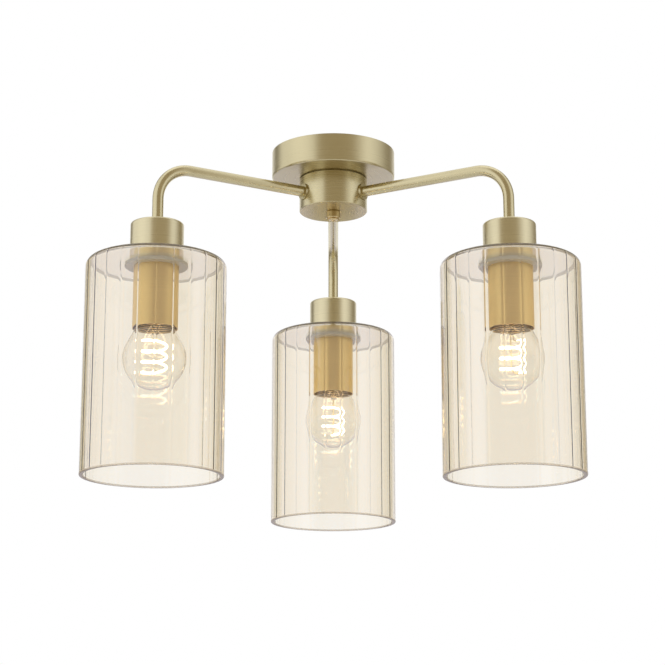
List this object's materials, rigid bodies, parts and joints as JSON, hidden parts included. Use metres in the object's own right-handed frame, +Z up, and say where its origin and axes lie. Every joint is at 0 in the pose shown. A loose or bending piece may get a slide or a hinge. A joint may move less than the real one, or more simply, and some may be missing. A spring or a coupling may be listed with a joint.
{
  "type": "semi flush ceiling light",
  "caption": "Semi flush ceiling light: round brass canopy and hub, bent tube arms, and fluted cylindrical glass shades that hang open side down round clear globe bulbs.",
  "frame": {"origin": "centre of the canopy's face on the ceiling, midway between the bracket's two slots", "axes": "+Z up, out of the ceiling face; +Y towards the arm that points away from the picture's viewer; +X to the viewer's right"},
  "size_m": [0.3508, 0.3172, 0.2604],
  "materials": {
    "canopy_brass": "satin, finely turned, warm antique gold",
    "hub_brass": "satin turned brass",
    "finial_brass": "polished brass",
    "arm_brass": "satin drawn tube",
    "cup_brass": "satin, finely turned, pale gold",
    "sleeve_brass": "satin turned brass",
    "holder_brass": "plain drawn brass",
    "contact_brass": "bright pressed brass",
    "zinc_steel": "zinc plated",
    "terminal_brass": "plain turned brass",
    "terminal_plastic": "moulded natural nylon",
    "grommet_rubber": "matt black",
    "gasket_silicone": "clear silicone",
    "cable_sheath": "translucent sheath",
    "ribbed_glass": "clear champagne lustre glass, fluted inside",
    "ring_acrylic": "frosted clear plastic",
    "holder_ceramic": "white glazed",
    "bulb_glass": "clear blown glass",
    "bulb_cap_metal": "nickel plated",
    "bulb_insulator": "black insulating glass",
    "filament_glow": "glowing warm white"
  },
  "bodies": {
    "fixture": {"ceiling_canopy": "canopy_brass", "hub_body": "hub_brass", "hub_lid": "hub_brass", "finial_nut": "finial_brass", "arm_tube_1": "arm_brass", "arm_tube_2": "arm_brass", "arm_tube_3": "arm_brass", "cup_1": "cup_brass", "cup_2": "cup_brass", "cup_3": "cup_brass", "lamp_sleeve_1": "sleeve_brass", "lamp_sleeve_2": "sleeve_brass", "lamp_sleeve_3": "sleeve_brass", "holder_cap_1": "holder_brass", "holder_cap_2": "holder_brass", "holder_cap_3": "holder_brass", "holder_barrel_1": "holder_brass", "holder_barrel_2": "holder_brass", "holder_barrel_3": "holder_brass", "holder_screw_shells": "contact_brass", "holder_contacts": "contact_brass", "mounting_bracket": "zinc_steel", "tie_rod": "zinc_steel", "block_fixing_screw": "zinc_steel", "earth_screw": "zinc_steel", "earth_washer": "zinc_steel", "hub_lock_nuts": "zinc_steel", "cup_lock_nuts": "zinc_steel", "terminal_screws": "terminal_brass", "terminal_block": "terminal_plastic", "cable_grommets": "grommet_rubber", "glass_gaskets": "gasket_silicone", "arm_cable_1": "cable_sheath", "arm_cable_2": "cable_sheath", "arm_cable_3": "cable_sheath", "glass_shade_1": "ribbed_glass", "glass_shade_2": "ribbed_glass", "glass_shade_3": "ribbed_glass", "shade_ring_1": "ring_acrylic", "shade_ring_2": "ring_acrylic", "shade_ring_3": "ring_acrylic", "holder_insert_1": "holder_ceramic", "holder_insert_2": "holder_ceramic", "holder_insert_3": "holder_ceramic"},
    "bulb_1": {"bulb_cap_1": "bulb_cap_metal", "bulb_contact_1": "bulb_insulator", "bulb_envelope_1": "bulb_glass", "bulb_stem_1": "bulb_glass", "bulb_filament_1": "filament_glow"},
    "bulb_2": {"bulb_cap_2": "bulb_cap_metal", "bulb_contact_2": "bulb_insulator", "bulb_envelope_2": "bulb_glass", "bulb_stem_2": "bulb_glass", "bulb_filament_2": "filament_glow"},
    "bulb_3": {"bulb_cap_3": "bulb_cap_metal", "bulb_contact_3": "bulb_insulator", "bulb_envelope_3": "bulb_glass", "bulb_stem_3": "bulb_glass", "bulb_filament_3": "filament_glow"}
  },
  "joints": [
    {"name": "bulb_1_release", "type": "slide", "parent": "fixture", "child": "bulb_1", "axis": [0, 0, -1], "range_m": [0, 0.15]},
    {"name": "bulb_2_release", "type": "slide", "parent": "fixture", "child": "bulb_2", "axis": [0, 0, -1], "range_m": [0, 0.15]},
    {"name": "bulb_3_release", "type": "slide", "parent": "fixture", "child": "bulb_3", "axis": [0, 0, -1], "range_m": [0, 0.15]}
  ]
}
